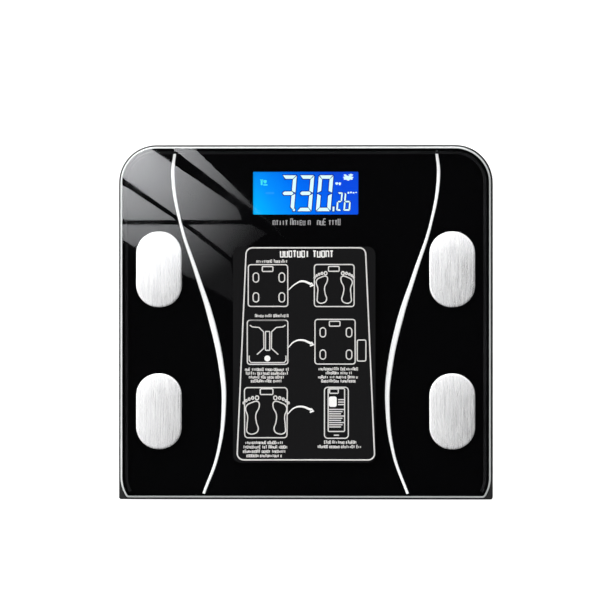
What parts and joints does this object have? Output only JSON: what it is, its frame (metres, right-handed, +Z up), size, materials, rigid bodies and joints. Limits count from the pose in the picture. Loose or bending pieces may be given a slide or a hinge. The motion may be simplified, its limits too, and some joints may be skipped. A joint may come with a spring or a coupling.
{
  "type": "digital bathroom scale",
  "caption": "Low square glass platform scale with steel foot electrodes, a lit display, load-cell feet, a sliding battery door and a unit button underneath.",
  "frame": {"origin": "on the floor, under the middle of the body's plan outline", "axes": "+X to the user's right, +Y towards the display end, +Z up"},
  "size_m": [0.26, 0.2464, 0.0268],
  "materials": {
    "tray_plastic": "fine moulded texture",
    "platform_glass": "clear tempered, polished edge",
    "print_film": "black screen print under the glass",
    "foam_tape": "closed-cell foam",
    "sticker_film": "dark film with grey line drawings",
    "electrode_steel": "brushed lengthways",
    "plated_steel": "nickel plated",
    "cell_steel": "milled",
    "gauge_foil": "foil on amber film",
    "holder_plastic": "natural nylon",
    "foot_plastic": "satin moulded",
    "foot_rubber": "soft matt",
    "board_laminate": "solder mask",
    "epoxy_black": "cast dome",
    "component_mix": "sleeves and cans",
    "display_glass": "lit blue display",
    "light_guide": "clear acrylic",
    "bezel_plastic": "satin",
    "zebra_rubber": "layered silicone",
    "switch_plastic": "satin",
    "button_plastic": "satin",
    "battery_jacket": "printed sleeve, bare ends",
    "spring_wire": "nickel plated",
    "door_plastic": "fine moulded texture",
    "lead_insulation": "red, white and black silicone"
  },
  "bodies": {
    "root": {"base_tray": "tray_plastic", "glass_platform": "platform_glass", "printed_film": "print_film", "glass_seal_tape": "foam_tape", "support_pads": "foam_tape", "instruction_sticker": "sticker_film", "electrode_studs": "plated_steel", "ring_terminals": "plated_steel", "electrode_nuts": "plated_steel", "strain_gauges": "gauge_foil", "cell_screws": "plated_steel", "lcd_panel": "display_glass", "lcd_backlight": "light_guide", "lcd_frame": "bezel_plastic", "lcd_connectors": "zebra_rubber", "main_board": "board_laminate", "board_screws": "plated_steel", "controller_blob": "epoxy_black", "board_components": "component_mix", "switch_housing": "switch_plastic", "battery_rear": "battery_jacket", "battery_front": "battery_jacket", "battery_springs": "spring_wire", "battery_contacts": "plated_steel", "electrode_leads": "lead_insulation", "battery_leads": "lead_insulation", "electrode_front_left": "electrode_steel", "load_cell_front_left": "cell_steel", "cell_holder_front_left": "holder_plastic", "foot_front_left": "foot_plastic", "foot_pad_front_left": "foot_rubber", "load_cell_leads_front_left": "lead_insulation", "electrode_front_right": "electrode_steel", "load_cell_front_right": "cell_steel", "cell_holder_front_right": "holder_plastic", "foot_front_right": "foot_plastic", "foot_pad_front_right": "foot_rubber", "load_cell_leads_front_right": "lead_insulation", "electrode_rear_left": "electrode_steel", "load_cell_rear_left": "cell_steel", "cell_holder_rear_left": "holder_plastic", "foot_rear_left": "foot_plastic", "foot_pad_rear_left": "foot_rubber", "load_cell_leads_rear_left": "lead_insulation", "electrode_rear_right": "electrode_steel", "load_cell_rear_right": "cell_steel", "cell_holder_rear_right": "holder_plastic", "foot_rear_right": "foot_plastic", "foot_pad_rear_right": "foot_rubber", "load_cell_leads_rear_right": "lead_insulation"},
    "battery_door": {"battery_door": "door_plastic"},
    "unit_button": {"unit_button": "button_plastic", "switch_plunger": "switch_plastic"}
  },
  "joints": [
    {"name": "battery_door_slide", "type": "slide", "parent": "root", "child": "battery_door", "axis": [0, -1, 0], "range_m": [0, 0.028]},
    {"name": "unit_button_press", "type": "slide", "parent": "root", "child": "unit_button", "axis": [0, 0, 1], "range_m": [0, 0.0003], "stiffness_N_per_m": 4000}
  ]
}
